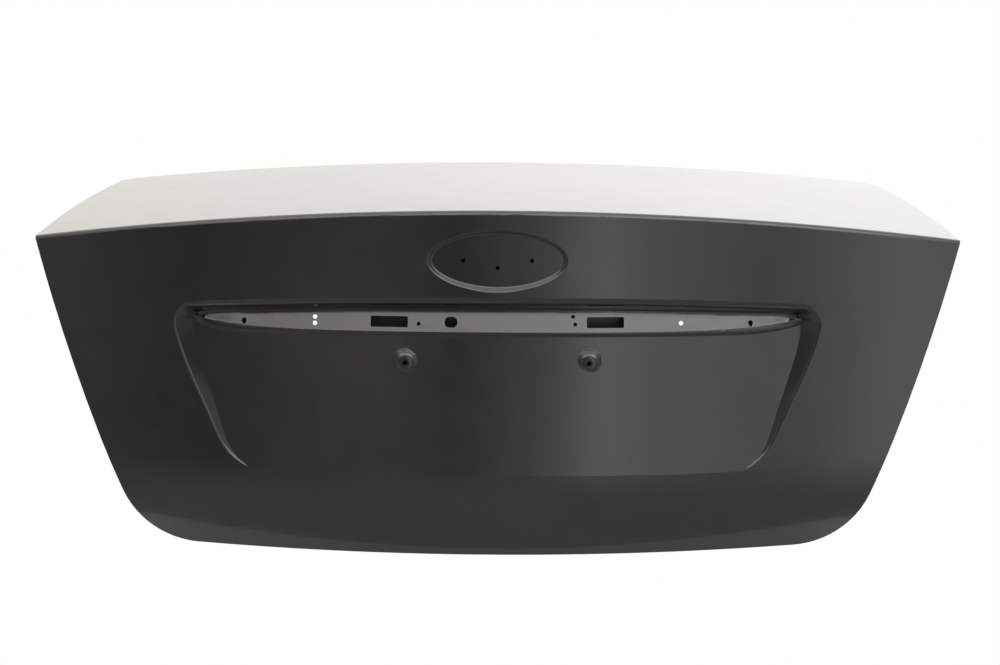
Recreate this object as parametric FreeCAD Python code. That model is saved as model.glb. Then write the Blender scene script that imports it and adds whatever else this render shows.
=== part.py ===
# Bare car trunk lid: hemmed outer skin, pressed inner panel, welded
# reinforcements and nuts. Millimetres. X runs across the car, Y forward, Z up.
# The origin is the middle of the four hinge bolts, on the face the hinge arms seat on.
import FreeCAD, Part
import math
import os

vec = FreeCAD.Vector

# Sheet and hem
outer_sheet = 0.8
inner_sheet = 0.7
hem_film = 0.1
hem_return = 10.0
hem_root_clearance = 0.6

# Skin along the centre plane of the car
lid_half_width = 534.5
lip_y = -398.0
lip_z = 46.2
lip_radius = 5.0
deck_length = 440.0
deck_rise = 5.8
deck_sagitta = 5.0
deck_crown = 41.5
rear_bulge = 80.0
face_lean = 1.0
face_turn_z = -222.0
face_turn_radius = 370.0
face_turn_span = 26.0
least_radius = 0.8

# Outline from above and from the rear
front_half_width = 482.5
front_sweep = 98.0
front_corner_radius = 18.0
least_front_radius = 8.0
rear_corner_y = -318.0
rear_corner_z = 2.5
side_foot_half_width = 408.0
side_sagitta = 9.0
top_flare = 38.0
bottom_z = -355.9
bottom_rise = 9.0
bottom_corner_radius = 100.0

# Number plate pocket and the garnish strip above the plate
pocket_top_z = -53.2
pocket_roof_radius = 5.0
pocket_entry_angle = 8.0
pocket_entry_height = 3.2
strip_top_y = -369.5
strip_top_z = -66.5
strip_foot_y = -380.0
strip_foot_z = -96.5
strip_root_radius = 2.4
strip_foot_radius = 2.6
floor_top_y = -377.0
floor_top_z = -100.0
floor_root_radius = 2.5
plate_floor_slope = 8.8
strip_taper_start = 60.0
strip_end_half_width = 335.0
mouth_end_drop = 8.8
strip_end_drop = 14.5
strip_end_rise = 9.5

# Side of the pocket from the roof down: x and z at the mouth, then how far the wall
# moves inward and up for each millimetre of depth
pocket_side = [(330.0, -44.0, 0.30, -0.50), (350.0, -58.0, 0.55, -0.45), (363.0, -68.5, 0.85, -0.35),
               (369.5, -80.0, 1.05, -0.10), (368.0, -100.0, 1.03, 0.08), (357.0, -134.0, 0.93, 0.30),
               (326.0, -203.5, 0.90, 0.43), (309.0, -236.0, 0.78, 0.63), (286.0, -253.5, 0.38, 0.93),
               (240.0, -264.0, 0.22, 0.98)]
pocket_edge_radius = 6.0
pocket_edge_steps = 4
pocket_flare = 0.5

# Badge recess
badge_half_width = 80.0
badge_half_height = 33.5
badge_z = -10.0
badge_depth = 3.6
badge_wall_draft = 1.1
badge_edge_radius = 2.2
badge_root_radius = 2.0
badge_hole_radius = 2.4
badge_hole_side = 39.0
badge_hole_top_z = -10.5
badge_hole_low_z = -19.0

# Holes in the strip and the plate bosses
lamp_window_x = 123.6
lamp_window_z = -84.8
lamp_window_width = 42.5
lamp_window_height = 12.0
lamp_window_corner = 1.5
lock_hole_x = -53.0
lock_hole_z = -84.8
lock_hole_width = 14.6
lock_hole_height = 11.6
lock_hole_corner = 5.2
stud_hole_x = 291.0
stud_hole_z = -87.0
stud_hole_radius = 2.7
clip_holes = [(-209.0, -81.0), (-209.0, -88.0), (210.5, -86.3)]
clip_hole_radius = 2.5
locator_holes = [(-90.0, -86.9), (86.5, -78.2), (89.0, -86.9)]
locator_hole_radius = 2.2
plate_bolt_spacing = 210.0
plate_bolt_z = -131.0
plate_boss_radius = 8.5
plate_boss_height = 3.0
plate_boss_draft = 0.8

# Inner panel
hem_seat = 16.0
deck_channel_depth = 22.0
face_channel_depth = 52.0
channel_corner_radius = 14.0
deck_wall_draft = 0.2
face_wall_draft = 0.15
island_depth = 3.0
island_draft = 0.4
island_x = 190.0
island_y = -160.0
island_width = 300.0
island_length = 262.0
island_corner = 42.0
island_flange = 14.0
wire_opening_x = 213.0
wire_opening_z = -98.0
wire_opening_width = 110.0
wire_opening_height = 104.0
low_opening_x = 205.0
low_opening_z = -232.0
low_opening_width = 190.0
low_opening_height = 84.0
opening_corner = 26.0
centre_opening_width = 74.0
centre_opening_height = 60.0
centre_opening_z = -165.0
rope_hole_radius = 9.0
rope_hole_x = 455.0
rope_hole_z = -60.0
clip_row_radius = 4.0
clip_row_pitch = 96.0
clip_row_y = -320.0

# Weld nuts: each has a pilot collar that fills its hole up to the seat
pilot_clearance = 0.3
nut_across_flats = 13.0
nut_height = 6.5
nut_bore_radius = 4.0
nut_pilot_wall = 1.2
nut_flange_radius = 9.0
nut_flange_height = 1.4
small_nut_flats = 10.0
small_nut_height = 5.0
small_nut_bore_radius = 3.0
small_nut_pilot_wall = 0.9
small_nut_flange_radius = 7.0
small_nut_flange_height = 1.2
big_hole_radius = nut_bore_radius + nut_pilot_wall + pilot_clearance
small_hole_radius = small_nut_bore_radius + small_nut_pilot_wall + pilot_clearance

# Hinge seats
hinge_bolt_x = 400.0
hinge_bolt_pitch = 50.0
hinge_pad_length = 90.0
hinge_pad_width = 78.0
pad_corner = 14.0
pad_draft = 0.35
hinge_plate_sheet = 2.0
hinge_plate_margin = 7.0
hinge_plate_window = 11.0

# Latch seat
latch_pad_y = -332.0
latch_pad_z = -284.0
latch_pad_width = 136.0
latch_pad_height = 66.0
latch_opening_width = 40.0
latch_opening_height = 34.0
latch_bolt_spacing = 76.0
latch_plate_sheet = 1.6

# Rubber stop seats and mastic
stop_seat_x = 352.0
stop_seat_z = -262.0
stop_seat_radius = 19.0
stop_seat_depth = 3.0
mastic_radius = 6.0
mastic_film = 0.12

# Reach of the cutting solids past the sheet
reach = 60.0
stations = (-1.0, -0.8, -0.6, -0.4, -0.2, 0.0, 0.2, 0.4, 0.6, 0.8, 1.0)


def crown(x):
    return deck_crown * (x / lid_half_width) ** 2


def bulge(x):
    return rear_bulge * (x / lid_half_width) ** 2


def faceY(z):
    # Y of the outer skin's rear face on the centre plane
    lean = math.radians(face_lean)
    if z > face_turn_z:
        return lip_y - (lip_z - z) * math.tan(lean)
    hub_z = face_turn_z - face_turn_radius * math.sin(lean)
    hub_y = lip_y - (lip_z - face_turn_z) * math.tan(lean) + face_turn_radius * math.cos(lean)
    return hub_y - math.sqrt(face_turn_radius ** 2 - (z - hub_z) ** 2)


def deckCentre():
    half = math.hypot(deck_length, deck_rise) / 2
    radius = (half ** 2 + deck_sagitta ** 2) / (2 * deck_sagitta)
    tilt = math.atan2(deck_rise, deck_length)
    back = radius - deck_sagitta
    y = lip_y + deck_length / 2 + back * math.sin(tilt)
    z = lip_z + deck_rise / 2 - back * math.cos(tilt)
    return y, z, radius


def arc(a, b, c):
    return Part.Arc(a, b, c).toShape()


def skinWire(x, deck_depth, face_depth, radius, far):
    # Section of the solid behind the skin, each side moved inward by its own depth
    lean = math.radians(face_lean)
    down = (-math.sin(lean), -math.cos(lean))
    inward = (math.cos(lean), -math.sin(lean))
    cy, cz, deck_radius = deckCentre()
    cz -= crown(x)
    deck_radius -= deck_depth
    base = [lip_y + (face_depth + radius) * inward[0], lip_z + (face_depth + radius) * inward[1]]
    gy, gz = base[0] - cy, base[1] - cz
    along = gy * down[0] + gz * down[1]
    rest = gy ** 2 + gz ** 2 - (deck_radius - radius) ** 2
    step = -along - math.sqrt(along ** 2 - rest)
    my, mz = base[0] + step * down[0], base[1] + step * down[1]
    on_face = (my - radius * inward[0], mz - radius * inward[1])
    scale = deck_radius / (deck_radius - radius)
    on_deck = (cy + (my - cy) * scale, cz + (mz - cz) * scale)
    mid = (on_face[0] + on_deck[0]) / 2 - my, (on_face[1] + on_deck[1]) / 2 - mz
    size = radius / math.hypot(*mid)
    lip_mid = (my + mid[0] * size, mz + mid[1] * size)
    turn_radius = face_turn_radius - face_depth
    reach_down = (lip_z - face_turn_z) / math.cos(lean)
    turn = (lip_y + reach_down * down[0] + face_depth * inward[0],
            lip_z + reach_down * down[1] + face_depth * inward[1])
    hub = (turn[0] + turn_radius * inward[0], turn[1] + turn_radius * inward[1])

    def onTurn(angle):
        a = math.pi + lean * -1 + math.radians(angle)
        return hub[0] + turn_radius * math.cos(a), hub[1] + turn_radius * math.sin(a)

    front = lip_y + deck_length + front_sweep + reach + far
    deck_front = (front, cz + math.sqrt(deck_radius ** 2 - (front - cy) ** 2))
    half = (front + on_deck[0]) / 2
    deck_mid = (half, cz + math.sqrt(deck_radius ** 2 - (half - cy) ** 2))
    low = onTurn(face_turn_span)
    floor_z = -reach * 8 - far
    pts = [deck_front, deck_mid, on_deck, lip_mid, on_face, turn, onTurn(face_turn_span / 2), low,
           (low[0], floor_z), (front, floor_z)]
    p = [vec(x, y + bulge(x), z) for y, z in pts]
    edges = [arc(p[0], p[1], p[2]), arc(p[2], p[3], p[4]), Part.makeLine(p[4], p[5]),
             arc(p[5], p[6], p[7]), Part.makeLine(p[7], p[8]), Part.makeLine(p[8], p[9]),
             Part.makeLine(p[9], p[0])]
    return Part.Wire(edges)


def skinBlock(deck_depth, face_depth=None, radius=None):
    if face_depth is None:
        face_depth = deck_depth
    if radius is None:
        radius = max(lip_radius - deck_depth, least_radius)
    far = max(deck_depth, face_depth, 0) + (0 if deck_depth > 0 else -5)
    half = lid_half_width + reach
    wires = [skinWire(s * half, deck_depth, face_depth, radius, far) for s in stations]
    return Part.makeLoft(wires, True, False)


def arcEnds(a, m, b):
    # Directions of travel at both ends of the arc through three points
    d = 2 * (a[0] * (m[1] - b[1]) + m[0] * (b[1] - a[1]) + b[0] * (a[1] - m[1]))
    qa, qm, qb = (p[0] ** 2 + p[1] ** 2 for p in (a, m, b))
    cx = (qa * (m[1] - b[1]) + qm * (b[1] - a[1]) + qb * (a[1] - m[1])) / d
    cy = (qa * (b[0] - m[0]) + qm * (a[0] - b[0]) + qb * (m[0] - a[0])) / d
    turn = 1 if (m[0] - a[0]) * (b[1] - m[1]) - (m[1] - a[1]) * (b[0] - m[0]) > 0 else -1
    ends = []
    for p in (a, m, b):
        r = math.hypot(p[0] - cx, p[1] - cy)
        ends.append((-turn * (p[1] - cy) / r, turn * (p[0] - cx) / r))
    return ends


def insetNodes(nodes, inset):
    # Outline of lines and arcs moved inward: nodes run anticlockwise, each with its arc's middle
    n = len(nodes)
    travel = []
    for i, (a, m) in enumerate(nodes):
        b = nodes[(i + 1) % n][0]
        if m:
            travel.append(arcEnds(a, m, b))
        else:
            length = math.hypot(b[0] - a[0], b[1] - a[1])
            t = ((b[0] - a[0]) / length, (b[1] - a[1]) / length)
            travel.append([t, t, t])
    moved = []
    for i, (a, m) in enumerate(nodes):
        t, s = travel[i - 1][2], travel[i][0]
        share = inset / (1 + t[0] * s[0] + t[1] * s[1])
        point = (a[0] - (t[1] + s[1]) * share, a[1] + (t[0] + s[0]) * share)
        k = travel[i][1]
        moved.append((point, m and (m[0] - k[1] * inset, m[1] + k[0] * inset)))
    return moved


def cornerWire(nodes, place, direction, radius, rounded):
    # The outline as a wire in its plane, with the chosen corners rounded
    edges = []
    n = len(nodes)
    for i, (a, m) in enumerate(nodes):
        b = nodes[(i + 1) % n][0]
        edges.append(arc(place(a), place(m), place(b)) if m else Part.makeLine(place(a), place(b)))
    prism = Part.Face(Part.Wire(edges)).extrude(direction)
    corners = []
    for i in rounded:
        spot = place(nodes[i][0])
        for e in prism.Edges:
            ends = [v.Point for v in e.Vertexes]
            if all(q.sub(spot).cross(direction).Length < 0.01 for q in ends):
                corners.append(e)
    prism = prism.makeFillet(radius, corners)
    level = place(nodes[0][0]).dot(direction)
    for f in prism.Faces:
        if abs(f.CenterOfMass.dot(direction) - level) < 0.01:
            return f.OuterWire


def planWire(inset, z):
    # Outline of the lid from above, open past the rear lip
    front_y = lip_y + deck_length + front_sweep
    slope = (lid_half_width - front_half_width) / (front_y - rear_corner_y)
    rear_y = -lid_half_width - reach
    rear_x = front_half_width + slope * (front_y - rear_y)
    nodes = [((front_half_width, front_y), (0, lip_y + deck_length)), ((-front_half_width, front_y), None),
             ((-rear_x, rear_y), None), ((rear_x, rear_y), None)]
    radius = max(front_corner_radius - inset, least_front_radius)
    return cornerWire(insetNodes(nodes, inset), lambda q: vec(q[0], q[1], z), vec(0, 0, 1), radius, (0, 1))


def rearWire(inset, y):
    # Outline of the lid from the rear, open past the deck
    top_z = rear_corner_z + 2 * reach
    foot_z = bottom_z + bottom_rise
    mid_x = (lid_half_width + side_foot_half_width) / 2 + side_sagitta
    mid_z = (rear_corner_z + foot_z) / 2
    nodes = [((lid_half_width, rear_corner_z), None), ((lid_half_width + top_flare, top_z), None),
             ((-lid_half_width - top_flare, top_z), None), ((-lid_half_width, rear_corner_z), (-mid_x, mid_z)),
             ((-side_foot_half_width, foot_z), (0, bottom_z)), ((side_foot_half_width, foot_z), (mid_x, mid_z))]
    radius = bottom_corner_radius - inset
    return cornerWire(insetNodes(nodes, inset), lambda q: vec(q[0], y, q[1]), vec(0, 1, 0), radius, (4, 5))


def outline(inset):
    plan = Part.Face(planWire(inset, -reach * 9)).extrude(vec(0, 0, reach * 12))
    rear = Part.Face(rearWire(inset, -lid_half_width - reach)).extrude(vec(0, 900, 0))
    return plan.common(rear)


def taperedPlan(inset, draft, z_ref, low, high):
    wires = [planWire(inset + draft * (z_ref - z), z) for z in (low, high)]
    return Part.makeLoft(wires, True, True)


def taperedRear(inset, draft, y_ref, near, far):
    wires = [rearWire(inset + draft * (y - y_ref), y) for y in (near, far)]
    return Part.makeLoft(wires, True, True)


def grownPath(points, radii, grow):
    # Closed outline moved outward, each corner rounded to suit: points run anticlockwise
    n = len(points)
    lines = []
    for i in range(n):
        a, b = points[i], points[(i + 1) % n]
        length = math.hypot(b[0] - a[0], b[1] - a[1])
        t = ((b[0] - a[0]) / length, (b[1] - a[1]) / length)
        lines.append(((a[0] + t[1] * grow, a[1] - t[0] * grow), t))
    corners = []
    for i in range(n):
        (p, t), (q, s) = lines[i - 1], lines[i]
        cross = t[0] * s[1] - t[1] * s[0]
        k = ((q[0] - p[0]) * s[1] - (q[1] - p[1]) * s[0]) / cross
        corners.append(((p[0] + t[0] * k, p[1] + t[1] * k), t, s, cross))
    path = []
    for i, (c, t, s, cross) in enumerate(corners):
        r = radii[i] and radii[i] + (grow if cross > 0 else -grow)
        if not r:
            path.append((c, c, c))
            continue
        r = max(r, 0.3)
        half = math.acos(max(-1, min(1, t[0] * s[0] + t[1] * s[1]))) / 2
        cut = r * math.tan(half)
        a = (c[0] - t[0] * cut, c[1] - t[1] * cut)
        b = (c[0] + s[0] * cut, c[1] + s[1] * cut)
        away = r / math.cos(half) - r
        m = ((s[0] - t[0]), (s[1] - t[1]))
        size = math.hypot(*m)
        path.append((a, (c[0] + m[0] / size * away, c[1] + m[1] / size * away), b))
    return path


def pathWire(path, place):
    edges = []
    n = len(path)
    for i in range(n):
        a, m, b = path[i]
        if a != b:
            edges.append(arc(place(a), place(m), place(b)))
        nxt = path[(i + 1) % n][0]
        edges.append(Part.makeLine(place(b), place(nxt)))
    return Part.Wire(edges)


def taper(x):
    t = (abs(x) - strip_taper_start) / (strip_end_half_width - strip_taper_start)
    return min(max(t, 0.0), 1.0) ** 2


def pocketSection(x, grow):
    # The hollow of the pocket in one section: entry, roof, strip, step, plate floor
    entry = math.tan(math.radians(pocket_entry_angle))
    low = pocket_top_z - mouth_end_drop * taper(x)
    rise = strip_end_rise * taper(x) ** 2
    high = low + 3 * reach
    knee_y = faceY(low) + entry * pocket_entry_height
    end_z = -6 * reach
    end_y = floor_top_y - (floor_top_z + rise - end_z) * math.tan(math.radians(plate_floor_slope))
    outside = lip_y - 3 * reach
    points = [(outside, high), (outside, end_z), (end_y, end_z), (floor_top_y, floor_top_z + rise),
              (strip_foot_y, strip_foot_z + rise), (strip_top_y, strip_top_z - strip_end_drop * taper(x)),
              (knee_y, low), (knee_y - entry * (high - low), high)]
    radii = [0, 0, 0, floor_root_radius, strip_foot_radius, strip_root_radius, pocket_roof_radius, 0]
    path = grownPath(points, radii, grow)
    return pathWire(path, lambda q: vec(x, q[0] + bulge(x), q[1]))


def sideRing(spot):
    # Closed ring of both side curves, joined by straight lines above the roof and below the floor
    ends = [(x, z) for x, z, inward, up in pocket_side]
    spans = [math.dist(a, b) for a, b in zip(ends, ends[1:])]
    knots = [sum(spans[:i]) / sum(spans) for i in range(len(spans))] + [1.0]
    side = [spot(*entry) for entry in pocket_side]
    mirror = [vec(-p.x, p.y, p.z) for p in reversed(side)]
    right, left = Part.BSplineCurve(), Part.BSplineCurve()
    right.interpolate(Points=side, Parameters=knots)
    left.interpolate(Points=mirror, Parameters=[1 - k for k in reversed(knots)])
    return Part.Wire([right.toShape(), Part.makeLine(side[-1], mirror[0]), left.toShape(),
                      Part.makeLine(mirror[-1], side[0])])


def edgeRing(share, grow):
    # Ring part way round the rounded edge of the mouth: 0 on the face, 1 on the wall
    radius = pocket_edge_radius - grow

    def spot(x, z, inward, up):
        draft = math.hypot(inward, up)
        turn = math.atan2(1, draft)
        out = pocket_edge_radius * math.tan(turn / 2) - radius * math.sin(turn * share)
        depth = pocket_edge_radius - radius * math.cos(turn * share)
        x += inward / draft * out
        z -= up / draft * out
        return vec(x, faceY(z) + bulge(x) + depth, z)
    return sideRing(spot)


def flatRing(y, grow):
    # Ring square to the car: flared outside the face, on the drafted wall inside it
    def spot(x, z, inward, up):
        draft = math.hypot(inward, up)
        depth = y - faceY(z) - bulge(x)
        out = grow * math.hypot(1, draft) - draft * depth if depth > 0 else pocket_edge_radius - pocket_flare * depth
        return vec(x + inward / draft * out, y, z - up / draft * out)
    return sideRing(spot)


def pocketSides(grow):
    # Drafted side walls with a rounded mouth that follows the bulged face
    rings = [flatRing(lip_y - reach, grow)]
    rings += [edgeRing(i / pocket_edge_steps, grow) for i in range(pocket_edge_steps + 1)]
    rings.append(flatRing(strip_top_y + bulge(pocket_side[3][0]), grow))
    return Part.makeLoft(rings, True, True)


def pocketVoid(grow):
    xs = [-430, -335, -290, -225, -150, -75, 0, 75, 150, 225, 290, 335, 430]
    body = Part.makeLoft([pocketSection(x, grow) for x in xs], True, False)
    return body.common(pocketSides(grow))


def ovalPrism(grow):
    def oval(y, extra):
        e = Part.Ellipse(vec(0, y, badge_z), badge_half_width + extra, badge_half_height + extra)
        s = e.toShape()
        s.rotate(vec(0, y, badge_z), vec(1, 0, 0), 90)
        return Part.Wire([s])
    near, far = lip_y - 12.0, lip_y + 12.0
    slant = grow * math.hypot(1, badge_wall_draft)
    return Part.makeLoft([oval(near, badge_wall_draft * (lip_y - near) + slant),
                          oval(far, badge_wall_draft * (lip_y - far) + slant)], True, True)


def ovalEdges(shape):
    # Rim and root edges of the badge recess
    rim, root = [], []
    for e in shape.Edges:
        box = e.BoundBox
        if box.XLength > badge_half_width and abs(e.CenterOfMass.z - badge_z) < badge_half_height / 2:
            if box.ZLength < 2.4 * badge_half_height:
                (rim if box.XLength > 2 * badge_half_width - badge_depth else root).append(e)
    return rim, root


def badgedBlock(depth):
    # The solid behind the skin with the oval badge recess, its rim and root rounded
    block = skinBlock(depth).cut(ovalPrism(depth).cut(skinBlock(badge_depth + depth)))
    block = block.makeFillet(badge_edge_radius - depth, ovalEdges(block)[0])
    return block.makeFillet(badge_root_radius + depth, ovalEdges(block)[1])


def floorY(x, z):
    # Y of the pocket floor, where the plate lies
    return floor_top_y - (floor_top_z - z) * math.tan(math.radians(plate_floor_slope)) + bulge(x)


def bossTop(x):
    return floorY(x, plate_bolt_z) - plate_boss_height


def plateBoss(depth):
    # Round raised seats for the plate screws, their flat tops square to the car
    seats = []
    for side in (-1, 1):
        x = side * plate_bolt_spacing / 2
        wide = plate_boss_radius - depth * (1 - plate_boss_draft / 2)
        seats.append(Part.makeCone(wide, wide + plate_boss_draft * 2 * plate_boss_height, 2 * plate_boss_height,
                                   vec(x, bossTop(x) + depth, plate_bolt_z), vec(0, 1, 0)))
    return seats


def dressedBlock(depth):
    # The solid behind the finished skin: block less badge recess and pocket, plus plate bosses
    return badgedBlock(depth).cut(pocketVoid(depth)).fuse(plateBoss(depth))


def outerPanel():
    hem = 2 * outer_sheet + inner_sheet + 2 * hem_film
    blank = dressedBlock(0).common(outline(0))
    ring = skinBlock(hem - outer_sheet).cut(skinBlock(hem)).cut(outline(hem_return))
    hollow = dressedBlock(outer_sheet).common(outline(outer_sheet)).cut(ring)
    panel = blank.cut(hollow).cut(skinBlock(hem).cut(outline(hem_return + 1)).cut(outline(hem_return + 8)))
    return panel


def roundedPrism(x, z, width, height, corner, axis, low, high, draft=0.0, grow=0.0):
    # Rounded rectangle pushed along an axis, its sides drafted from the low end
    def ring(level):
        w = width / 2 + grow + draft * (level - low)
        h = height / 2 + grow + draft * (level - low)
        r = max(corner + grow + draft * (level - low), 0.5)
        place = (lambda a, b: vec(x + a, z + b, level)) if axis == "z" else (lambda a, b: vec(x + a, level, z + b))
        k = r * (1 - math.sqrt(0.5))
        edges = []
        spots = [(1, 1), (-1, 1), (-1, -1), (1, -1)]
        for i, (u, v) in enumerate(spots):
            flip = i % 2
            a, b = place(u * w, v * (h - r)), place(u * (w - r), v * h)
            if flip:
                a, b = b, a
            edges.append(arc(a, place(u * (w - k), v * (h - k)), b))
            s, t = spots[(i + 1) % 4]
            nxt = place(s * (w - r), t * h) if not flip else place(s * w, t * (h - r))
            edges.append(Part.makeLine(b, nxt))
        return Part.Wire(edges)
    return Part.makeLoft([ring(low), ring(high)], True, True)


def stripY(x, z):
    # Y of the garnish strip's outer side at a height
    top = strip_top_z - strip_end_drop * taper(x)
    foot = strip_foot_z + strip_end_rise * taper(x) ** 2
    return strip_top_y + (top - z) / (top - foot) * (strip_foot_y - strip_top_y) + bulge(x)


def rod(x, y, z, radius, back, ahead):
    # Round bar along Y
    return Part.makeCylinder(radius, back + ahead, vec(x, y - back, z), vec(0, 1, 0))


def post(x, y, z, radius, height):
    return Part.makeCylinder(radius, height, vec(x, y, z), vec(0, 0, 1))


def punchStrip(panel):
    # Windows and holes of the garnish strip, the plate bosses and the badge recess
    push = reach / 4
    y = stripY(lock_hole_x, lock_hole_z)
    tools = [roundedPrism(lock_hole_x, lock_hole_z, lock_hole_width, lock_hole_height, lock_hole_corner, "y",
                          y - push, y + push)]
    for side in (-1, 1):
        x = side * lamp_window_x
        y = stripY(x, lamp_window_z)
        tools.append(roundedPrism(x, lamp_window_z, lamp_window_width, lamp_window_height, lamp_window_corner, "y",
                                  y - push, y + push))
        x = side * plate_bolt_spacing / 2
        tools.append(rod(x, bossTop(x), plate_bolt_z, small_hole_radius, push / 2, push / 2))
    holes = [(x, z, clip_hole_radius) for x, z in clip_holes]
    holes += [(x, z, locator_hole_radius) for x, z in locator_holes]
    holes += [(side * stud_hole_x, stud_hole_z, stud_hole_radius) for side in (-1, 1)]
    for x, z, radius in holes:
        tools.append(rod(x, stripY(x, z), z, radius, push, push))
    for x, z in ((-badge_hole_side, badge_hole_top_z), (0, badge_hole_low_z), (badge_hole_side, badge_hole_top_z)):
        tools.append(rod(x, lip_y, z, badge_hole_radius, push, push))
    return panel.cut(tools)


def seatDepth(extra=0.0):
    return outer_sheet + hem_film + extra


def stopY(x):
    # Y of the stop seats on the side that faces the skin
    return faceY(stop_seat_z) + bulge(x) + face_channel_depth + stop_seat_depth


def insideBlock(grow):
    # The space on the cabin side of the inner panel: channels, raised borders and seats
    seat = seatDepth(grow)
    rim = outer_sheet + hem_root_clearance - 6 * grow
    solid = skinBlock(seat).common(outline(rim))
    above = -3.0
    deck_zone = taperedPlan(hem_seat - grow, deck_wall_draft, lip_z + deck_rise, -reach, 2 * reach)
    deck_floor = skinBlock(deck_channel_depth + grow, above, channel_corner_radius)
    face_zone = taperedRear(hem_seat - 4 - grow, face_wall_draft, lip_y, lip_y - 1.5 * reach,
                            lip_y + rear_bulge + face_channel_depth + reach)
    face_floor = skinBlock(above, face_channel_depth + grow, channel_corner_radius)
    solid = solid.cut(deck_zone.cut(deck_floor)).cut(face_zone.cut(face_floor))
    for side in (-1, 1):
        hill = roundedPrism(side * island_x, island_y, island_width, island_length, island_corner, "z",
                            -reach, reach, -island_draft, island_draft * reach - grow)
        solid = solid.fuse(hill.common(skinBlock(island_depth + grow)))
    for side in (-1, 1):
        solid = solid.cut(roundedPrism(side * hinge_bolt_x, 0, hinge_pad_width, hinge_pad_length, pad_corner, "z",
                                       inner_sheet - grow, reach, pad_draft, grow))
        x = side * stop_seat_x
        solid = solid.cut(Part.makeCone(stop_seat_radius + grow, stop_seat_radius + grow + 20, 40,
                                        vec(x, stopY(x) + grow, stop_seat_z), vec(0, -1, 0)))
    pad = roundedPrism(0, latch_pad_z, latch_pad_width, latch_pad_height, pad_corner, "y",
                       latch_pad_y - inner_sheet + grow, latch_pad_y - reach, -pad_draft, grow)
    return solid.cut(pad)


def innerOpenings():
    tools = []
    flange = 2 * island_flange
    for side in (-1, 1):
        tools.append(roundedPrism(side * island_x, island_y, island_width - flange, island_length - flange,
                                  island_corner - island_flange, "z", -reach, 2 * reach))
        tools.append(roundedPrism(side * wire_opening_x, wire_opening_z, wire_opening_width, wire_opening_height,
                                  opening_corner, "y", lip_y, -4 * reach))
        tools.append(roundedPrism(side * low_opening_x, low_opening_z, low_opening_width, low_opening_height,
                                  opening_corner, "y", lip_y, -4 * reach))
        for along in (-1, 1):
            tools.append(post(side * hinge_bolt_x, along * hinge_bolt_pitch / 2, -reach, big_hole_radius, 2 * reach))
        tools.append(rod(side * latch_bolt_spacing / 2, latch_pad_y, latch_pad_z, small_hole_radius, 12, 12))
        x = side * stop_seat_x
        tools.append(rod(x, stopY(x), stop_seat_z, small_hole_radius, 12, 12))
        tools.append(rod(side * rope_hole_x, lip_y + bulge(rope_hole_x) + face_channel_depth, rope_hole_z,
                         rope_hole_radius, 20, 20))
    for i in range(-4, 5):
        x = i * clip_row_pitch
        tools.append(post(x, clip_row_y + bulge(x), -reach, clip_row_radius, 2 * reach - 12))
    tools.append(roundedPrism(0, latch_pad_z, latch_opening_width, latch_opening_height, 6.0, "y",
                              latch_pad_y - 12, latch_pad_y + 12))
    tools.append(roundedPrism(0, centre_opening_z, centre_opening_width, centre_opening_height, 14.0, "y",
                              lip_y + 20, -4 * reach))
    return tools


def innerPanel():
    return insideBlock(0).cut(insideBlock(inner_sheet)).cut(innerOpenings())


def weldNut(flats, height, bore, pilot_wall, pilot_length, flange_radius, flange_height, place, direction):
    # Six-sided weld nut on a round flange, its pilot collar reaching down into the hole
    points = [vec(flats / math.sqrt(3) * math.cos(math.radians(60 * i)),
                  flats / math.sqrt(3) * math.sin(math.radians(60 * i)), 0) for i in range(7)]
    body = Part.Face(Part.makePolygon(points)).extrude(vec(0, 0, height))
    cap = Part.makeCone(flats / 2 * 1.22, flats / 2 * 0.95, height * 0.22, vec(0, 0, height * 0.8))
    lower = Part.makeCylinder(flats, height * 0.8)
    flange = Part.makeCylinder(flange_radius, flange_height)
    pilot = Part.makeCylinder(bore + pilot_wall, pilot_length, vec(0, 0, -pilot_length))
    nut = body.common(lower.fuse(cap)).fuse([flange, pilot]).removeSplitter()
    nut = nut.cut(Part.makeCylinder(bore, height + pilot_length, vec(0, 0, -pilot_length)))
    nut.rotate(vec(0, 0, 0), vec(1, 0, 0), {"up": 0, "forward": -90, "back": 90}[direction])
    nut.translate(place)
    return nut


def hingePlate(side):
    # Pressed plate over the hinge seat, its edge turned up, under the four-sided pad walls
    x = side * hinge_bolt_x
    low = inner_sheet
    width = hinge_pad_width - 2 * hinge_plate_margin
    length = hinge_pad_length - 2 * hinge_plate_margin
    outer = roundedPrism(x, 0, width, length, pad_corner - 3, "z", low, low + 8, pad_draft)
    core = roundedPrism(x, 0, width, length, pad_corner - 3, "z", low + hinge_plate_sheet, low + 20, pad_draft,
                        (pad_draft - 1) * hinge_plate_sheet)
    plate = outer.cut(core)
    tools = [post(x, s * hinge_bolt_pitch / 2, -1, big_hole_radius, 20) for s in (-1, 1)]
    tools.append(post(x, 0, -1, hinge_plate_window / 2, 20))
    return plate.cut(tools)


def latchPlate():
    y = latch_pad_y - inner_sheet
    width = latch_pad_width - 2 * hinge_plate_margin
    height = latch_pad_height - 2 * hinge_plate_margin
    plate = roundedPrism(0, latch_pad_z, width, height, pad_corner - 3, "y", y - latch_plate_sheet, y)
    tools = [rod(s * latch_bolt_spacing / 2, y, latch_pad_z, small_hole_radius, 6, 6) for s in (-1, 1)]
    tools.append(roundedPrism(0, latch_pad_z, latch_opening_width + 2, latch_opening_height + 2, 6.0, "y",
                              y - 6, y + 6))
    return plate.cut(tools)


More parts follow.
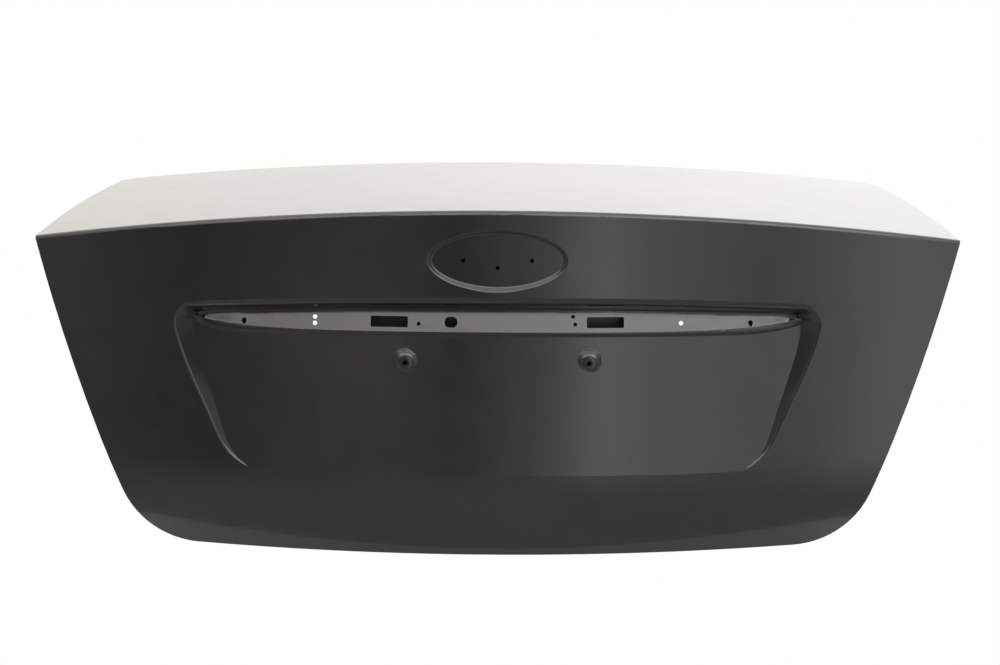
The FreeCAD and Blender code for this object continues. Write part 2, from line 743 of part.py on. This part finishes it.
def masticPads(side):
    # Soft pads between the raised border round the deck opening and the deck skin
    layer = skinBlock(outer_sheet + mastic_film).cut(skinBlock(island_depth - mastic_film))
    inset = island_flange / 2 + mastic_film * 12
    half_width, half_length = island_width / 2 - inset, island_length / 2 - inset
    spots = [(share * half_width, end * half_length) for share in (-0.55, 0, 0.55) for end in (-1, 1)]
    spots += [(end * half_width, share * half_length) for share in (-0.4, 0.4) for end in (-1, 1)]
    pads = [post(side * island_x + u, island_y + v, -reach, mastic_radius, 3 * reach) for u, v in spots]
    return layer.common(Part.makeCompound(pads))


def bigNut(pilot_length, place, direction):
    return weldNut(nut_across_flats, nut_height, nut_bore_radius, nut_pilot_wall, pilot_length,
                   nut_flange_radius, nut_flange_height, place, direction)


def smallNut(pilot_length, place, direction):
    return weldNut(small_nut_flats, small_nut_height, small_nut_bore_radius, small_nut_pilot_wall, pilot_length,
                   small_nut_flange_radius, small_nut_flange_height, place, direction)


def save(shape, name):
    shape.exportStep("parts/" + name + ".step")


def saveSide(side, name):
    # The pieces that come once on each side
    save(hingePlate(side), "hinge_reinforcement_" + name)
    stack = inner_sheet + hinge_plate_sheet
    for along, end in ((-1, "rear"), (1, "front")):
        place = vec(side * hinge_bolt_x, along * hinge_bolt_pitch / 2, stack)
        save(bigNut(stack, place, "up"), "hinge_nut_" + name + "_" + end)
    save(masticPads(side), "mastic_" + name)
    stack = inner_sheet + latch_plate_sheet
    place = vec(side * latch_bolt_spacing / 2, latch_pad_y - stack, latch_pad_z)
    save(smallNut(stack, place, "back"), "latch_nut_" + name)
    x = side * plate_bolt_spacing / 2
    place = vec(x, bossTop(x) + outer_sheet, plate_bolt_z)
    save(smallNut(outer_sheet, place, "forward"), "plate_nut_" + name)
    x = side * stop_seat_x
    save(smallNut(inner_sheet, vec(x, stopY(x), stop_seat_z), "back"), "stop_nut_" + name)


def main():
    os.makedirs("parts", exist_ok=True)
    save(punchStrip(outerPanel()), "outer_panel")
    save(innerPanel(), "inner_panel")
    save(latchPlate(), "latch_reinforcement")
    saveSide(-1, "left")
    saveSide(1, "right")


main()
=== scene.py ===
import bpy
import bmesh
import math
from mathutils import Matrix, Vector


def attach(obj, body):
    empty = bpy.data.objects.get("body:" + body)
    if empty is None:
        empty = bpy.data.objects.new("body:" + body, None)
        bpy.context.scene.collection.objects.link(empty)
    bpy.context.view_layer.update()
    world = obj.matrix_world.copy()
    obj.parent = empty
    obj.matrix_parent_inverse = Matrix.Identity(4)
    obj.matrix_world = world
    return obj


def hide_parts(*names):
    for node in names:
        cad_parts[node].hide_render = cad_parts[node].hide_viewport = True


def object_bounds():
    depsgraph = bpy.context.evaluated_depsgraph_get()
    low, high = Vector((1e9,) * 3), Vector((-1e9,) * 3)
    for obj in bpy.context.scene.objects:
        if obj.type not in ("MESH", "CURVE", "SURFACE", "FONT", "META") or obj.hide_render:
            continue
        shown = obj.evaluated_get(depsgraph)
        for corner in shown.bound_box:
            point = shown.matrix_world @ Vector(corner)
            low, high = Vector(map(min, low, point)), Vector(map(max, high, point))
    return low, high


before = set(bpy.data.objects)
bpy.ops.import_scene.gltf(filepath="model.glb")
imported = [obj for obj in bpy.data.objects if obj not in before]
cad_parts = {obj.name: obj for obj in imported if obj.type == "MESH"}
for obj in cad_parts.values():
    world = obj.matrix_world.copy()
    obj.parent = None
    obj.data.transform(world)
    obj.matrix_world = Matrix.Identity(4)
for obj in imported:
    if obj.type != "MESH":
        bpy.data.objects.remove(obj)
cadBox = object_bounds()
print("frame loaded:", len(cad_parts), "nodes")


# Shader graphs are written as expressions of sockets.
class Socket:
    def __init__(self, graph, node, link):
        self.graph, self.node, self.link = graph, node, link

    def other(self, name):  # another output of the same node
        return Socket(self.graph, self.node, self.node.outputs[name])

    def math(self, operation, *rest):
        values = {i: v for i, v in enumerate((self,) + rest)}
        return self.graph.add("ShaderNodeMath", {"operation": operation}, values)

    def __add__(self, b):
        return self.math("ADD", b)

    def __radd__(self, b):
        return self.graph.number(b, "ADD", self)

    def __sub__(self, b):
        return self.math("SUBTRACT", b)

    def __rsub__(self, b):
        return self.graph.number(b, "SUBTRACT", self)

    def __mul__(self, b):
        return self.math("MULTIPLY", b)

    def __rmul__(self, b):
        return self.graph.number(b, "MULTIPLY", self)

    def __truediv__(self, b):
        return self.math("DIVIDE", b)

    def __neg__(self):
        return self.graph.number(0, "SUBTRACT", self)

    def step(self, low, high):  # smooth 0 to 1 between low and high
        return self.graph.add("ShaderNodeMapRange", {"interpolation_type": "SMOOTHSTEP"},
                              {"Value": self, "From Min": low, "From Max": high})

    def hill(self, centre, width):  # 1 at the centre, falling away on both sides
        away = (self - centre) / width
        return (away * away * -1.0).math("EXPONENT")


class Graph:
    def __init__(self, tree):
        self.tree = tree
        tree.nodes.clear()

    def add(self, kind, settings=None, values=None, out=0):
        node = self.tree.nodes.new(kind)
        for key, value in (settings or {}).items():
            setattr(node, key, value)
        for key, value in (values or {}).items():
            if isinstance(value, Socket):
                self.tree.links.new(value.link, node.inputs[key])
            else:
                node.inputs[key].default_value = value
        return Socket(self, node, node.outputs[out] if node.outputs else None)

    def number(self, value, operation, socket):
        return self.add("ShaderNodeMath", {"operation": operation}, {0: value, 1: socket})

    def blend(self, share, a, b):  # colours by share
        return self.add("ShaderNodeMix", {"data_type": "RGBA"}, {0: share, 6: a, 7: b}, out=2)

    def noise(self, point, scale, detail=2.0, roughness=0.5):
        return self.add("ShaderNodeTexNoise", None,
                        {"Vector": point, "Scale": scale, "Detail": detail, "Roughness": roughness})


def newMaterial(name):
    material = bpy.data.materials.new(name)
    material.use_nodes = True
    return material, Graph(material.node_tree)


def dress(names, material):
    for name in names:
        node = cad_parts[name]
        node.data.materials.clear()
        node.data.materials.append(material)


# Dark primer on the sheet metal.
skinLook = {
    "darkColour": (0.0105, 0.0105, 0.0108, 1),
    "paleColour": (0.0165, 0.0162, 0.016, 1),
    "paleSpan": (0.35, 0.66),
    "cloudSize": 5.0,
    "cloudShare": 0.7,
    "patchSize": 34.0,
    "patchShare": 0.3,
    "grainFiner": 5,
    "grainShare": 0.2,
    "peelShare": 0.8,
    "gloss": 0.25,
    "glossSpread": 0.05,
    "coatGloss": 0.1,
    "peelSize": 520.0,
    "peelDepth": 0.05,
    "coatWeight": 1.0,
}
innerLook = dict(skinLook, darkColour=(0.017, 0.017, 0.0175, 1), paleColour=(0.027, 0.0265, 0.026, 1),
                 gloss=0.42, coatGloss=0.3, coatWeight=0.7, peelDepth=0.08)
plateLook = dict(innerLook, darkColour=(0.022, 0.022, 0.023, 1), paleColour=(0.034, 0.034, 0.034, 1),
                 gloss=0.46)


def primerMaterial(name, look):
    material, graph = newMaterial(name)
    point = graph.add("ShaderNodeTexCoord").other("Object")
    cloud = graph.noise(point, look["cloudSize"], 3.0)
    patch = graph.noise(point, look["patchSize"], 4.0, 0.6)
    peel = graph.noise(point, look["peelSize"], 1.0)
    grain = graph.noise(point, look["peelSize"] * look["grainFiner"], 0.0)
    share = (cloud * look["cloudShare"] + patch * look["patchShare"]).step(*look["paleSpan"])
    colour = graph.blend(share, look["darkColour"], look["paleColour"])
    gloss = look["gloss"] + look["glossSpread"] * (patch - 0.5) * 2.0
    height = peel * look["peelShare"] + grain * look["grainShare"]
    bump = graph.add("ShaderNodeBump", None, {"Strength": look["peelDepth"], "Distance": 0.001, "Height": height})
    shader = graph.add("ShaderNodeBsdfPrincipled", None, {
        "Base Color": colour, "Roughness": gloss, "Normal": bump, "IOR": 1.5,
        "Coat Weight": look["coatWeight"], "Coat Roughness": look["coatGloss"]})
    graph.add("ShaderNodeOutputMaterial", None, {"Surface": shader})
    return material


def nutMaterial(name):
    material, graph = newMaterial(name)
    point = graph.add("ShaderNodeTexCoord").other("Object")
    speck = graph.noise(point, 900.0, 3.0)
    smear = graph.noise(point, 160.0, 2.0)
    colour = graph.blend(smear.step(0.4, 0.62), (0.05, 0.05, 0.052, 1), (0.12, 0.118, 0.115, 1))
    bump = graph.add("ShaderNodeBump", None, {"Strength": 0.2, "Distance": 0.0005, "Height": speck})
    shader = graph.add("ShaderNodeBsdfPrincipled", None, {
        "Base Color": colour, "Roughness": 0.34 + 0.2 * speck, "Metallic": 0.85, "Normal": bump})
    graph.add("ShaderNodeOutputMaterial", None, {"Surface": shader})
    return material


def masticMaterial(name):
    material, graph = newMaterial(name)
    point = graph.add("ShaderNodeTexCoord").other("Object")
    lump = graph.noise(point, 240.0, 3.0, 0.6)
    colour = graph.blend(lump.step(0.35, 0.7), (0.02, 0.018, 0.016, 1), (0.05, 0.046, 0.042, 1))
    bump = graph.add("ShaderNodeBump", None, {"Strength": 0.5, "Distance": 0.001, "Height": lump})
    shader = graph.add("ShaderNodeBsdfPrincipled", None, {
        "Base Color": colour, "Roughness": 0.75 + 0.15 * lump, "Normal": bump})
    graph.add("ShaderNodeOutputMaterial", None, {"Surface": shader})
    return material


names = sorted(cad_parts)
dress(["inner_panel"], primerMaterial("innerPrimer", innerLook))
dress([n for n in names if "reinforcement" in n], primerMaterial("platePrimer", plateLook))
dress([n for n in names if "_nut_" in n], nutMaterial("nutSteel"))
dress([n for n in names if n.startswith("mastic")], masticMaterial("softMastic"))
print("materials set")


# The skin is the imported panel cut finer, with the lines of its recess redrawn. Sizes are in millimetres.
solidLines = {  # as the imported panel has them
    "lip": (-398.0, 46.2), "lean": 1.0, "bulge": 80.0, "halfWidth": 534.5,
    "mouth": -53.2, "mouthDrop": 8.8, "mouthDepth": 0.45,
    "top": (-369.5, -66.5), "topDrop": 14.5,
    "foot": (-380.0, -96.5), "footRise": 9.5,
    "floor": (-377.0, -100.0), "floorSlope": 8.8,
    "taperStart": 60.0, "taperEnd": 335.0,
    "boss": (105.0, -131.0), "bossRadius": 8.5, "bossHeight": 3.0, "bossDraft": 0.8,
}
drawnLines = {  # as the skin shows them
    "mouthShift": -3.2,
    "top": -70.0, "topSag": 6.5, "topSagAt": 310.0,
    "foot": (-380.3, -97.3), "footRise": 6.0, "footRiseFrom": 268.0, "footRiseSpan": 66.0,
    "slope": 0.35, "step": 3.5,
    "roundFrom": 318.0, "roundSpan": 46.0, "leastRound": 0.5,
    "edgeShare": 0.3, "edgeDrop": 5.0, "edgeDepth": 4.0,
    "heldHigh": 0.33, "heldLow": 0.83, "rowsAbove": 12.0, "rowsEnd": -120.0,
    "domeFlat": 4.5, "domeRadius": 12.0, "domeReach": 16.0,
}
skinCut = {  # where the skin is cut finer, how fine, and how softly the redrawn lines blend
    "halfWidth": 372.0, "high": -38.0, "low": -150.0, "ahead": -300.0,
    "edge": 4.0, "bossEdge": 1.8, "rounds": 6,
    "fadeWidth": 14.0, "blur": 0.8, "blurSteps": (-2, -1, 0, 1, 2), "leastDepth": 0.5,
    "probe": 0.05, "mergeWithin": 0.001,
}


def clamp(value):
    return min(max(value, 0.0), 1.0)


def bulge(x):
    return solidLines["bulge"] * (x / solidLines["halfWidth"]) ** 2


def faceY(z):
    return solidLines["lip"][0] - (solidLines["lip"][1] - z) * math.tan(math.radians(solidLines["lean"]))


def recessRows(x):  # lines across the recess from the top down: height and depth as packed, then as drawn
    was, now = solidLines, drawnLines
    wide = abs(x)
    taper = clamp((wide - was["taperStart"]) / (was["taperEnd"] - was["taperStart"])) ** 2
    rise = was["footRise"] * taper ** 2
    mouth = was["mouth"] - was["mouthDrop"] * taper
    top, foot = was["top"][1] - was["topDrop"] * taper, was["foot"][1] + rise

    def floorY(z):
        return was["floor"][0] - (was["floor"][1] + rise - z) * math.tan(math.radians(was["floorSlope"]))

    newMouth = mouth + now["mouthShift"]
    newTop = now["top"] - now["topSag"] * (wide / now["topSagAt"]) ** 2
    newFoot = now["foot"][1] + now["footRise"] * clamp((wide - now["footRiseFrom"]) / now["footRiseSpan"]) ** 2
    turned = clamp((wide - now["roundFrom"]) / now["roundSpan"])
    half = (newTop - newFoot) / 2 * max(math.sqrt(1 - turned ** 2), now["leastRound"])
    middle = (newTop + newFoot) / 2
    newTop, newFoot = middle + half, middle - half

    def stripRow(share, z=None):
        depth = was["top"][0] + share * (was["foot"][0] - was["top"][0])
        height = top + share * (foot - top)
        z = height if z is None else z
        return height, depth, z, now["foot"][0] + now["slope"] * (z - newFoot)

    share = now["edgeShare"]
    wasEdge = (mouth + share * (top - mouth), faceY(mouth) + share * (was["top"][0] - faceY(mouth)))
    newEdge = (newMouth - now["edgeDrop"], faceY(newMouth) + now["edgeDepth"])
    start, end = mouth + now["rowsAbove"], now["rowsEnd"]
    step = newFoot - now["step"]
    return [(start, faceY(start), start, faceY(start)),
            (mouth, faceY(mouth) + was["mouthDepth"], newMouth, faceY(newMouth) + was["mouthDepth"]),
            wasEdge + newEdge,
            stripRow(0.0, newTop), stripRow(now["heldHigh"]), stripRow(now["heldLow"]), stripRow(1.0, newFoot),
            (was["floor"][1] + rise, was["floor"][0], step, floorY(step)),
            (end, floorY(end), end, floorY(end))]


def bossReach(x, z):  # distance from the middle of the nearer plate boss
    return math.hypot(abs(x) - solidLines["boss"][0], z - solidLines["boss"][1])


def bossShift(x, z):  # the plate bosses' cones drawn as domes
    was, now = solidLines, drawnLines
    away = bossReach(x, z)
    if away > now["domeReach"]:
        return 0.0
    slope = math.tan(math.radians(was["floorSlope"]))
    floor = was["floor"][0] - (was["floor"][1] - z) * slope + bulge(x)
    middleX, middleZ = was["boss"]
    top = was["floor"][0] - (was["floor"][1] - middleZ) * slope + bulge(middleX) - was["bossHeight"]
    cone = min(floor, top + max(away - was["bossRadius"], 0.0) / was["bossDraft"])
    dome = min(floor, top + max(away - now["domeFlat"], 0.0) ** 2 / (2 * now["domeRadius"]))
    return dome - cone


def rowShift(rows, z):  # packed depth at a height, and how far the line through it moves in depth and height
    if z >= rows[0][0] or z <= rows[-1][0]:
        return faceY(z), 0.0, 0.0
    spot = next(i for i, row in enumerate(rows) if row[0] < z)
    high, low = rows[spot - 1], rows[spot]
    u = (high[0] - z) / (high[0] - low[0])
    wasZ, wasY, newZ, newY = (p + u * (q - p) for p, q in zip(high, low))
    return wasY, newY - wasY, newZ - wasZ


def redrawn(point):
    x, y, z = point * 1000.0
    rows = recessRows(x)
    fade = 1 - clamp((abs(x) - skinCut["halfWidth"]) / skinCut["fadeWidth"])
    shifts = [rowShift(rows, z + step * skinCut["blur"]) for step in skinCut["blurSteps"]]
    packed, deeper, higher = (sum(values) / len(shifts) for values in zip(*shifts))
    depth = y - bulge(x) - faceY(z)
    share = clamp(depth / max(packed - faceY(z), skinCut["leastDepth"]))
    return Vector((x, y + deeper * share * fade + bossShift(x, z), z + higher * fade)) / 1000.0


def inRecess(point):
    x, y, z = point * 1000.0
    return abs(x) < skinCut["halfWidth"] and skinCut["low"] < z < skinCut["high"] and y < skinCut["ahead"]


def normalTurn(point):  # how normals turn where the surface is redrawn
    h = skinCut["probe"] / 1000
    columns = [(redrawn(point + step) - redrawn(point - step)) / (2 * h)
               for step in (Vector((h, 0, 0)), Vector((0, h, 0)), Vector((0, 0, h)))]
    return Matrix(columns).inverted_safe()


def split(work, edges):
    bmesh.ops.subdivide_edges(work, edges=edges, cuts=1)
    bmesh.ops.triangulate(work, faces=[f for f in work.faces if len(f.verts) > 3])


def tooLong(edge):  # edges to cut: coarse in the recess, finer where they touch a boss
    length = edge.calc_length() * 1000
    if length < skinCut["bossEdge"]:
        return False
    ends = [v.co for v in edge.verts]
    if not (inRecess(ends[0]) or inRecess(ends[1])):
        return False
    if min(bossReach(p.x * 1000, p.z * 1000) for p in ends) < drawnLines["domeReach"]:
        return True
    return length > skinCut["edge"] and inRecess(ends[0]) and inRecess(ends[1])


def redrawnSkin():
    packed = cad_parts["outer_panel"].data
    mesh = packed.copy()
    mesh.name = "skin"
    kept = mesh.attributes.new("kept", "FLOAT_VECTOR", "CORNER")
    for i, corner in enumerate(packed.corner_normals):
        kept.data[i].vector = corner.vector
    work = bmesh.new()
    work.from_mesh(mesh)
    bmesh.ops.remove_doubles(work, verts=work.verts, dist=skinCut["mergeWithin"] / 1000)
    for _ in range(skinCut["rounds"]):
        split(work, [e for e in work.edges if tooLong(e)])
    layer = work.loops.layers.float_vector["kept"]
    for vert in [v for v in work.verts if inRecess(v.co)]:
        turn = normalTurn(vert.co)
        for loop in vert.link_loops:
            loop[layer] = (turn @ loop[layer]).normalized()
        vert.co = redrawn(vert.co)
    for face in work.faces:
        face.smooth = True
    work.to_mesh(mesh)
    work.free()
    normals = [tuple(item.vector.normalized()) for item in mesh.attributes["kept"].data]
    mesh.attributes.remove(mesh.attributes["kept"])
    mesh.normals_split_custom_set(normals)
    skin = bpy.data.objects.new("skin", mesh)
    bpy.context.scene.collection.objects.link(skin)
    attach(skin, "root")
    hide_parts("outer_panel")
    mesh.materials.clear()
    mesh.materials.append(primerMaterial("skinPrimer", skinLook))
    print("skin redrawn:", len(mesh.polygons), "faces")


redrawnSkin()


# The room: a pale floor, and light drawn in the world's nodes. Turns and rises are in degrees.
room = {
    "floorDrop": 0.001,
    "floorBack": 0.39,
    "floorAhead": 3.0,
    "floorSide": 1.5,
    "whiteLevel": 1.0,
    "aheadLevel": 1.36,
    "aheadTilt": 0.12,
    "aheadTiltSpan": (-0.2, 0.2),
    "aheadFade": 0.26,
    "aheadFadeSpan": (1.0, 16.0),
    "frontSpan": (0.5, 0.85),
    "roofLevel": 1.4,
    "roofSpan": (12.0, 40.0),
    "bandLevel": 1.5,
    "bandLean": 0.9,
    "bandRise": 32.0,
    "bandSpread": 11.0,
    "besideSpan": (0.45, 0.8),
    "besideDim": 0.85,
    "behindLevel": 0.27,
    "lowLevel": 0.34,
    "lowSpan": (-30.0, -14.0),
    "shelfLevel": 0.3,
    "shelfTurn": (24.0, 9.0),
    "shelfRise": (9.0, 7.0),
    "tintSpan": (-0.4, 0.4),
    "leftTint": (1.02, 1.0, 0.93, 1),
    "rightTint": (1.0, 0.985, 1.015, 1),
}
# brighter and darker patches behind the viewer: place in degrees, width, strength
patches = [(-27.0, 9.0, -0.17), (-3.6, 3.2, -0.22), (9.4, 3.4, 0.86),
           (15.5, 5.0, 0.36), (38.0, 8.0, 0.75), (26.0, 12.0, 0.13)]


def roomLight():
    world = bpy.data.worlds.new("room")
    bpy.context.scene.world = world
    world.use_nodes = True
    graph = Graph(world.node_tree)
    way = graph.add("ShaderNodeTexCoord").other("Generated")
    axes = graph.add("ShaderNodeSeparateXYZ", None, {0: way})
    x, y, z = axes.other("X"), axes.other("Y"), axes.other("Z")
    turn = x.math("ARCTAN2", -y) * (180 / math.pi)  # degrees to the right of the viewer's back
    rise = z.math("ARCSINE") * (180 / math.pi)
    behind = room["behindLevel"] + (
        room["shelfLevel"] * turn.hill(*room["shelfTurn"]) * rise.hill(*room["shelfRise"]))
    for place, width, strength in patches:
        behind = behind + strength * turn.hill(place, width)
    high, low = rise.step(*room["roofSpan"]), 1 - rise.step(*room["lowSpan"])
    band = (1 + room["bandLean"] * x) * rise.hill(room["bandRise"], room["bandSpread"])
    beside = x.math("ABSOLUTE").step(*room["besideSpan"])
    over = (room["roofLevel"] * high + room["bandLevel"] * band) * (1 - room["besideDim"] * beside)
    around = behind * (1 - high) * (1 - low) + over + room["lowLevel"] * low
    tilt = room["aheadTilt"]
    ahead = room["aheadLevel"] * (1 - tilt + 2 * tilt * x.step(*room["aheadTiltSpan"])) * (
        1 - room["aheadFade"] * (1 - rise.step(*room["aheadFadeSpan"])))
    front = y.step(*room["frontSpan"])
    level = around * (1 - front) + ahead * front
    seen = graph.add("ShaderNodeLightPath").other("Is Camera Ray")
    strength = level * (1 - seen) + room["whiteLevel"] * seen
    tint = graph.blend(x.step(*room["tintSpan"]), room["leftTint"], room["rightTint"])
    tint = graph.blend(seen, tint, (1, 1, 1, 1))
    back = graph.add("ShaderNodeBackground", None, {"Color": tint, "Strength": strength})
    graph.add("ShaderNodeOutputWorld", None, {"Surface": back})


def paleFloor():
    side, back, ahead = room["floorSide"], -room["floorBack"], room["floorAhead"]
    drop = cadBox[0][2] - room["floorDrop"]
    mesh = bpy.data.meshes.new("floor")
    mesh.from_pydata([(x, y, drop) for x, y in ((-side, back), (side, back), (side, ahead), (-side, ahead))],
                     [], [(0, 1, 2, 3)])
    floor = bpy.data.objects.new("floor", mesh)
    bpy.context.scene.collection.objects.link(floor)
    material, graph = newMaterial("floorWhite")
    plain = graph.add("ShaderNodeBsdfDiffuse", None, {"Color": (0.8, 0.8, 0.8, 1)})
    lit = graph.add("ShaderNodeEmission", None, {"Color": (1, 1, 1, 1), "Strength": room["whiteLevel"]})
    seen = graph.add("ShaderNodeLightPath").other("Is Camera Ray")
    mixed = graph.add("ShaderNodeMixShader", None, {0: seen, 1: plain, 2: lit})
    graph.add("ShaderNodeOutputMaterial", None, {"Surface": mixed})
    mesh.materials.append(material)


roomLight()
paleFloor()
print("room lit")


# The camera stands where the photo's camera did.
cameraLook = {
    "place": (0.0, -3.9486, 0.5016),
    "dip": 9.5,
    "roll": 0.31,
    "lens": 114.1,
    "sideShift": 0.0027,
}

camera = bpy.data.cameras.new("camera")
camera.lens, camera.sensor_width = cameraLook["lens"], 36.0
camera.shift_x = cameraLook["sideShift"]
camera.clip_end = 200.0
view = bpy.data.objects.new("camera", camera)
view.matrix_world = (Matrix.Translation(Vector(cameraLook["place"]))
                     @ Matrix.Rotation(math.radians(90 - cameraLook["dip"]), 4, "X")
                     @ Matrix.Rotation(math.radians(cameraLook["roll"]), 4, "Z"))
bpy.context.scene.collection.objects.link(view)
bpy.context.scene.camera = view

scene = bpy.context.scene
scene.render.engine = "CYCLES"
scene.view_settings.view_transform = "Standard"
scene.render.resolution_x, scene.render.resolution_y = 1000, 665
print("camera set")
